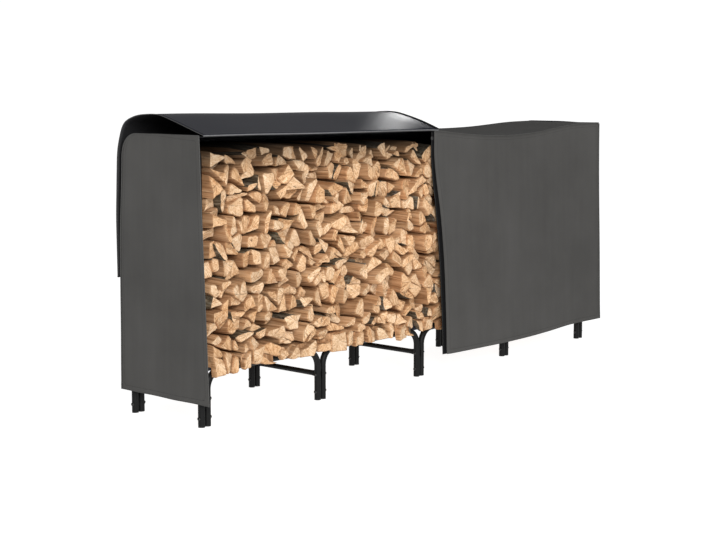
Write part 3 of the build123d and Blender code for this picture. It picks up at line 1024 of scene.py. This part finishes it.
def split_face_finish():
    """Brown split sides: long fibres, darker streaks and torn slivers."""
    material, tree, shader = start_material("log_split_face")
    grain = grain_place(tree)
    tint = log_tint(tree)
    fibres = cloudy(tree, grain, 1.0, 5.0, 0.65, (6.0, 420.0, 1.0))
    bands = cloudy(tree, grain, 1.0, 3.0, 0.55, (3.0, 62.0, 1.0))
    tone = weighted(tree, (fibres, 0.5), (bands, 0.5))
    brown = colour_ramp(
        tree, tone, (0.36, 0.21, 0.092, 0.032), (0.50, 0.52, 0.298, 0.150), (0.64, 0.70, 0.460, 0.280))
    red = colour_ramp(
        tree, tone, (0.36, 0.17, 0.070, 0.024), (0.50, 0.44, 0.225, 0.105), (0.64, 0.61, 0.370, 0.205))
    wood = blend_colours(tree, tint["Green"], brown, red)
    torn = cloudy(tree, grain, 1.0, 2.0, 0.5, (9.0, 150.0, 1.0))
    sliver = mapped(tree, torn, 0.0, 0.4, 0.60, 0.66)
    streaked = blend_colours(tree, sliver, wood, (0.13, 0.065, 0.032, 1.0))
    lit = blend_colours(tree, 1.0, streaked, mapped(tree, tint["Blue"], 0.66, 1.22), "MULTIPLY")
    fill(tree, shader, {
        # painted shade from the roof
        "Base Color": painted_roof_shade(tree, lit),
        "Roughness": 0.82,
        "Specular IOR Level": 0.18,
        "Normal": relief(tree, calculate(tree, "SUBTRACT", tone, sliver), 0.7, 0.0040),
    })
    return material


def bark_finish():
    """Dark ridged bark with grey-green lichen."""
    material, tree, shader = start_material("log_bark")
    grain = grain_place(tree)
    tint = log_tint(tree)
    ridges = cloudy(tree, grain, 1.0, 5.0, 0.66, (11.0, 75.0, 1.0))
    dark = colour_ramp(
        tree, ridges, (0.34, 0.024, 0.014, 0.007), (0.52, 0.092, 0.063, 0.036), (0.68, 0.26, 0.205, 0.145))
    spread = mapped(tree, cloudy(tree, grain, 80.0, 5.0, 0.70), 0.0, 1.0, 0.49, 0.60)
    amount = calculate(tree, "MULTIPLY", calculate(tree, "MULTIPLY", spread, tint["Blue"]), 0.7)
    growth = blend_colours(tree, tint["Red"], (0.150, 0.165, 0.115, 1.0), (0.27, 0.262, 0.255, 1.0))
    fill(tree, shader, {
        # painted shade from the roof
        "Base Color": painted_roof_shade(tree, blend_colours(tree, amount, dark, growth)),
        "Roughness": 0.92,
        "Specular IOR Level": 0.12,
        "Normal": relief(tree, ridges, 0.9, 0.0060),
    })
    return material


log_end = log_end_finish()
split_face = split_face_finish()
bark = bark_finish()
print("wood finishes:", log_end.name, split_face.name, bark.name)

# %% [markdown]
# ## The logs
# Each CAD log is a plain prism, so the logs start from what it says: its outline seen from the front, and
# where it begins and ends. The CAD mesh is loose triangles, so its doubles are merged in a copy first.


# %% Read the outlines of the logs
def log_outlines(cad_node):
    """Corners seen from the front, front and rear of each log of a CAD node."""
    merged = bmesh.new()
    merged.from_mesh(cad_node.data)
    bmesh.ops.remove_doubles(merged, verts=merged.verts, dist=0.00002)
    seen = set()
    logs = []
    for first in merged.verts:
        if first in seen:
            continue
        island = [first]
        seen.add(first)
        for vertex in island:
            for edge in vertex.link_edges:
                other = edge.other_vert(vertex)
                if other not in seen:
                    seen.add(other)
                    island.append(other)
        front = min(v.co.y for v in island)
        rear = max(v.co.y for v in island)
        corners = [(v.co.x, v.co.z) for v in island if v.co.y < front + 0.0001]
        middle = np.mean(corners, axis=0)
        corners.sort(key=lambda c: math.atan2(c[1] - middle[1], c[0] - middle[0]))
        logs.append((corners, front, rear))
    merged.free()
    return logs


log_nodes = sorted(name for name in nodes if name.startswith("firewood"))
all_logs = {name: log_outlines(nodes[name]) for name in log_nodes}
print("logs:", {name: len(logs) for name, logs in all_logs.items()})


# %% [markdown]
# ## Shaping the logs
# The corners are knocked off, the long sides are made uneven, and a few rings are strung along the length
# so that a log twists and narrows a little. Its front leans to one side, and its ends are sawn out of
# square. Big logs are split in two along their length, as an axe would, bottom logs that reach past the
# front rail hang a heel over it, and logs that nobody can see get fewer points.

# %% Shape the logs
END_FACE, SPLIT_FACE, BARK_FACE = 0, 1, 2
ROUND_TURN = math.radians(24.0)
BARK_CHANCE = 0.55
SHORTEST_SIDE = 0.004
SAWN_BEVEL = 0.0035
HEEL_FRONT = -0.2005
HEEL_RINGS = (-0.1985, -0.1960)
HEEL_BEHIND = -0.1970
COVER_FRONT = -0.2262
TILT_SPARE = 0.008
SPLIT_AREA = 0.0041
RESTING_SPLIT_AREA = 0.0016
STAGGER_SHARE = 0.60
FIRST_LOG_SEED = 300
STACK_END = min(corner[0] for logs in all_logs.values() for corners, _, _ in logs for corner in corners)
STACK_FRONT = min(front for logs in all_logs.values() for _, front, _ in logs)


def knock_off(corner, turn, run, chance):
    """How much of a side is lost at a corner: most at a sharp one, none on the bark or at the stack's end."""
    if turn < ROUND_TURN or corner[0] < STACK_END + 0.004:
        return 0.0
    sharp = smooth_step(turn, math.radians(80.0), math.radians(125.0))
    return min(chance.uniform(0.003, 0.012) + 0.010 * sharp, (0.30 + 0.10 * sharp) * run)


def log_contour(corners, chance, fine):
    """Outline with knocked-off corners and uneven sides, each point with its face."""
    count = len(corners)
    points = [np.array(c) for c in corners]
    middle = sum(points) / count
    turns = []
    for index in range(count):
        before = points[index] - points[index - 1]
        after = points[(index + 1) % count] - points[index]
        turn = math.atan2(before[0] * after[1] - before[1] * after[0], float(before @ after))
        turns.append(abs(turn))
    contour = []
    barked = chance.random() < BARK_CHANCE
    for index in range(count):
        start = points[index]
        end = points[(index + 1) % count]
        run = float(np.linalg.norm(end - start))
        on_round = min(turns[index], turns[(index + 1) % count]) < ROUND_TURN
        face = BARK_FACE if barked and on_round else SPLIT_FACE
        if run < SHORTEST_SIDE:
            continue
        along = (end - start) / run
        outward = np.array((along[1], -along[0]))
        cut_start = knock_off(start, turns[index], run, chance)
        cut_end = knock_off(end, turns[(index + 1) % count], run, chance)
        shares = [cut_start / run]
        if fine and run > 0.026:
            steps = 2 if run > 0.055 else 1
            free = 1.0 - (cut_start + cut_end) / run
            shares += [cut_start / run + free * (s + 1) / (steps + 1) for s in range(steps)]
        if cut_end > 0.0:
            shares.append(1.0 - cut_end / run)
        for share in shares:
            rough = chance.uniform(-0.0036, 0.0002) * min(1.0, run / 0.030)
            contour.append((start + along * run * share + outward * rough, face))
    return contour, middle


def ring_places(front, rear, heel, fine):
    """Where the rings of a log lie along its depth."""
    places = [front, front + SAWN_BEVEL]
    if heel > 0.0:
        places += HEEL_RINGS
    if fine:
        places += [front + (rear - front) * share for share in (0.32, 0.66)]
    return places + [rear - SAWN_BEVEL, rear]


def painted_shade_at_height(z):
    """Painted shade from the roof: 1 in the open, less close under the roof."""
    return 0.09 + 0.91 * smooth_step(ROOF - z, 0.035, 0.170)


def front_lean(corners, chance, resting):
    """How far the front of a log leans sideways and up, away from the end frame, the rail and the roof."""
    side = chance.uniform(-0.013, 0.013)
    rise = chance.uniform(-0.011, 0.011)
    if min(c[0] for c in corners) < STACK_END + 0.020:
        side = abs(side)
    if resting:
        rise = 0.0
    if max(c[1] for c in corners) > ROOF - 0.060:
        rise = -abs(rise)
    return np.array((side, rise))


def front_limit(x):
    """How far forward a log may reach: less beside the zip tape."""
    return -0.2380 + 0.024 * smooth_step(x, -0.10, -0.03)


def add_point(builder, place, tint, rim):
    """Adds a point with what its finish reads."""
    builder["points"].append(tuple(place))
    # painted shade from the roof, by the point's height
    builder["shade_below_roof"].append(painted_shade_at_height(place[2]))
    builder["tints"].append(tint)
    builder["rims"].append(rim)


def add_face(builder, corners, kind, grain):
    """Adds a face with its finish and its place on the grain's map."""
    builder["faces"].append(corners)
    builder["kinds"].append(kind)
    builder["grain"].append(grain)


def log_sides(builder, contour, places, first, chance):
    """Adds the long faces between the rings of a log."""
    count = len(contour)
    around = [0.0]
    for index in range(count):
        step = np.linalg.norm(contour[(index + 1) % count][0] - contour[index][0])
        around.append(around[-1] + float(step))
    shift = chance.uniform(0.0, 5.0)
    for ring in range(len(places) - 1):
        near = places[ring] + shift
        far = places[ring + 1] + shift
        for index in range(count):
            a = first + ring * count + index
            b = first + ring * count + (index + 1) % count
            begin = around[index] + shift
            end = around[index + 1] + shift
            grain = ((near, begin), (near, end), (far, end), (far, begin))
            add_face(builder, (a, b, b + count, a + count), contour[index][1], grain)


def log_ends(builder, contour, middle, places, first, tint, chance):
    """Adds the two sawn ends of a log, each with an inner ring and a hub."""
    count = len(contour)
    reach = np.mean([np.linalg.norm(spot - middle) for spot, _ in contour])
    pith_turn = chance.uniform(0.0, math.tau)
    pith_away = chance.uniform(0.2, 1.3) * reach
    pith = middle + pith_away * np.array((math.cos(pith_turn), math.sin(pith_turn)))
    for ring, forward in ((0, True), (len(places) - 1, False)):
        start = first + ring * count
        inner = len(builder["points"])
        hub = inner + count
        spots = builder["points"][start:start + count]
        centre = np.mean(spots, axis=0)
        for spot in spots:
            half = centre + (np.array(spot) - centre) * chance.uniform(0.50, 0.68)
            half[1] += chance.uniform(-0.0042, 0.0030)
            add_point(builder, half, tint, 0.0)
        centre[1] += chance.uniform(-0.0020, 0.0020)
        add_point(builder, centre, tint, 0.0)
        for index in range(count):
            after = (index + 1) % count
            quad = (start + index, inner + index, inner + after, start + after)
            fan = (inner + index, hub, inner + after)
            for corners in (quad, fan):
                ordered = corners if forward else corners[::-1]
                ends = [builder["points"][corner] for corner in ordered]
                add_face(builder, ordered, END_FACE, [(p[0] - pith[0], p[2] - pith[1]) for p in ends])


def shape_log(builder, corners, front, rear, chance, fine, resting):
    """Adds one log to the lists of a builder."""
    contour, middle = log_contour(corners, chance, fine)
    if len(contour) < 3:
        return
    heel = chance.uniform(0.017, 0.036) if resting and front < HEEL_FRONT else 0.0
    lowest = min(float(spot[1]) for spot, _ in contour)
    tilt = np.array((chance.uniform(-0.32, 0.32), chance.uniform(-0.32, 0.32)))
    allowed = max(0.0, front - COVER_FRONT) + TILT_SPARE
    most = max(abs(float(tilt @ (spot - middle))) for spot, _ in contour)
    if most > allowed:
        tilt *= allowed / most
    shrink = chance.uniform(0.90, 0.99)
    twist = chance.uniform(-0.03, 0.03)
    lean = front_lean(corners, chance, resting)
    seed = chance.uniform(0.0, 50.0)
    # logs are made paler towards the right through their tint
    paler_to_right = 0.36 * smooth_step(float(middle[0]), -1.1, 0.1)
    tint = (paler_to_right + 0.64 * chance.random(), chance.random() ** 1.2, paler_to_right + 0.64 * chance.random(), 1.0)
    places = ring_places(front, rear, heel, fine)
    first = len(builder["points"])
    for ring, y in enumerate(places):
        deep = (y - front) / (rear - front)
        edge_in = 0.0028 if ring in (0, len(places) - 1) else 0.0
        for spot, _ in contour:
            out = spot - middle
            size = float(np.linalg.norm(out))
            swell = 0.0016 * noise.noise(Vector((seed + spot[0] * 30.0, y * 5.0, spot[1] * 30.0))) - 0.0014
            scale = 1.0 + (swell - edge_in) / max(size, 0.012)
            turned = np.array((out[0] - twist * deep * out[1], out[1] + twist * deep * out[0])) * scale
            x, z = middle + turned * shrink + lean * (1.0 - smooth_step(deep, 0.0, 0.45))
            if heel > 0.0 and y < HEEL_BEHIND:
                z -= heel * (1.0 - smooth_step(float(spot[1]), lowest + 0.004, lowest + 0.050))
            tip = (1.0 - smooth_step(deep, 0.0, 0.25)) * float(tilt @ out)
            add_point(builder, (x, max(y + tip, front_limit(x)), z), tint, 1.0)
    log_sides(builder, contour, places, first, chance)
    log_ends(builder, contour, middle, places, first, tint, chance)


def log_area(corners):
    """Area of an outline."""
    crosses = [a[0] * b[1] - b[0] * a[1] for a, b in zip(corners, corners[1:] + corners[:1])]
    return abs(sum(crosses)) / 2.0


def cut_in_two(corners, direction):
    """The parts of an outline behind and ahead of a line through its middle, square to a direction."""
    points = [np.array(corner) for corner in corners]
    middle = sum(points) / len(points)
    sides = [float((point - middle) @ direction) for point in points]
    behind, ahead = [], []
    for index, point in enumerate(points):
        after = (index + 1) % len(points)
        (behind if sides[index] < 0.0 else ahead).append(tuple(point))
        if sides[index] * sides[after] < 0.0:
            share = sides[index] / (sides[index] - sides[after])
            crossing = tuple(point + share * (points[after] - point))
            behind.append(crossing)
            ahead.append(crossing)
    return behind, ahead


def log_piece(name, logs, seed):
    """All the logs of one CAD node as one piece; the big ones that show are split in two."""
    chance = random.Random(seed)
    builder = {"points": [], "tints": [], "rims": [], "shade_below_roof": [], "faces": [], "kinds": [], "grain": []}
    for corners, front, rear in logs:
        seen = min(c[0] for c in corners) < SPLIT_X + 0.10
        front = STACK_FRONT + STAGGER_SHARE * (front - STACK_FRONT)
        resting = seen and min(c[1] for c in corners) < RAIL_TOP + 0.003
        if not seen or log_area(corners) < (RESTING_SPLIT_AREA if resting else SPLIT_AREA):
            shape_log(builder, corners, front, rear, chance, seen, resting)
            continue
        long_way = np.linalg.eigh(np.cov(np.array(corners).T))[1][:, 1]
        turn = math.atan2(long_way[1], long_way[0]) + chance.uniform(-0.3, 0.3)
        if resting:
            turn = math.pi / 2.0 + chance.uniform(-0.5, 0.5)
        behind, ahead = cut_in_two(corners, np.array((math.cos(turn), math.sin(turn))))
        shape_log(builder, behind, front, rear, chance, seen, resting)
        shape_log(builder, ahead, front + chance.uniform(0.002, 0.014), rear, chance, seen, False)
    mesh = bpy.data.meshes.new(name)
    mesh.from_pydata(builder["points"], [], builder["faces"])
    for material in (log_end, split_face, bark):
        mesh.materials.append(material)
    grain = mesh.uv_layers.new(name="grain")
    for polygon, kind, places in zip(mesh.polygons, builder["kinds"], builder["grain"]):
        polygon.material_index = kind
        for loop_index, place in zip(polygon.loop_indices, places):
            grain.data[loop_index].uv = place
    tints = mesh.attributes.new("log_tint", "FLOAT_COLOR", "POINT")
    for item, tint in zip(tints.data, builder["tints"]):
        item.color = tint
    # the rim and the painted shade from the roof go on as point attributes
    for attribute, key in (("log_rim", "rims"), ("log_painted_shade", "shade_below_roof")):
        values = mesh.attributes.new(attribute, "FLOAT", "POINT")
        values.data.foreach_set("value", builder[key])
    piece = new_object(name, mesh)
    take(piece)
    bpy.ops.object.shade_smooth_by_angle(angle=math.radians(32.0))
    return piece


log_faces = 0
for number, name in enumerate(log_nodes):
    piece = log_piece(name.replace("firewood", "logs"), all_logs[name], FIRST_LOG_SEED + number)
    belongs(piece)
    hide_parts(name)
    log_faces += len(piece.data.polygons)
print("log faces:", log_faces)

# %% [markdown]
# ## The floor
# The photograph has a plain white ground, so the floor glows a little by itself and only a trace of contact
# shadow is left.


# %% Make the floor
def pale_floor():
    """White floor on which shadows are faint."""
    material, tree, shader = start_material("pale_floor")
    grain = cloudy(tree, object_place(tree), 3.0, 2.0)
    fill(tree, shader, {
        "Base Color": colour_ramp(tree, grain, (0.0, 0.36, 0.36, 0.36), (1.0, 0.40, 0.40, 0.40)),
        "Roughness": 0.9,
        "Specular IOR Level": 0.0,
        "Emission Color": (1.0, 1.0, 1.0, 1.0),
        "Emission Strength": 0.93,
    })
    return material


deselect_all()
bpy.ops.mesh.primitive_plane_add(size=60.0, location=(0.0, 0.0, 0.0))
floor = bpy.context.object
floor.name = "pale_floor"
floor.data.materials.append(pale_floor())
print("floor ready")

# %% [markdown]
# ## The light
# The light is even and comes from the front: a big soft light stands beside the camera, and the white world
# fills the shadows. A narrow spot behind on the right gives the black lining its sheen.


# %% Light the rack
def add_light(name, kind, place, target, power, **settings):
    """A light aimed at a point."""
    light_data = bpy.data.lights.new(name, kind)
    light_data.energy = power
    for key, value in settings.items():
        setattr(light_data, key, value)
    light = new_object(name, light_data)
    light.location = place
    light.rotation_euler = (Vector(target) - Vector(place)).to_track_quat("-Z", "Y").to_euler()


add_light("front_left_light", "AREA", (-4.7, -6.0, 3.2), (-0.2, 0.0, 0.5), 535.0, shape="SQUARE", size=3.2)
add_light("sheen_light", "SPOT", (2.263, 1.50, 2.04), (0.055, -0.045, 1.070), 26.0,
          shadow_soft_size=0.10, spot_size=math.radians(4.5), spot_blend=1.0)

world = bpy.data.worlds.new("white_studio")
bpy.context.scene.world = world
world.use_nodes = True
studio = world.node_tree
sky = studio.nodes["Background"]
camera_ray = add_node(studio, "ShaderNodeLightPath").outputs["Is Camera Ray"]
fill(studio, sky, {"Color": (1.0, 1.0, 1.0, 1.0), "Strength": mapped(studio, camera_ray, 0.34, 1.05)})
print("lights ready")
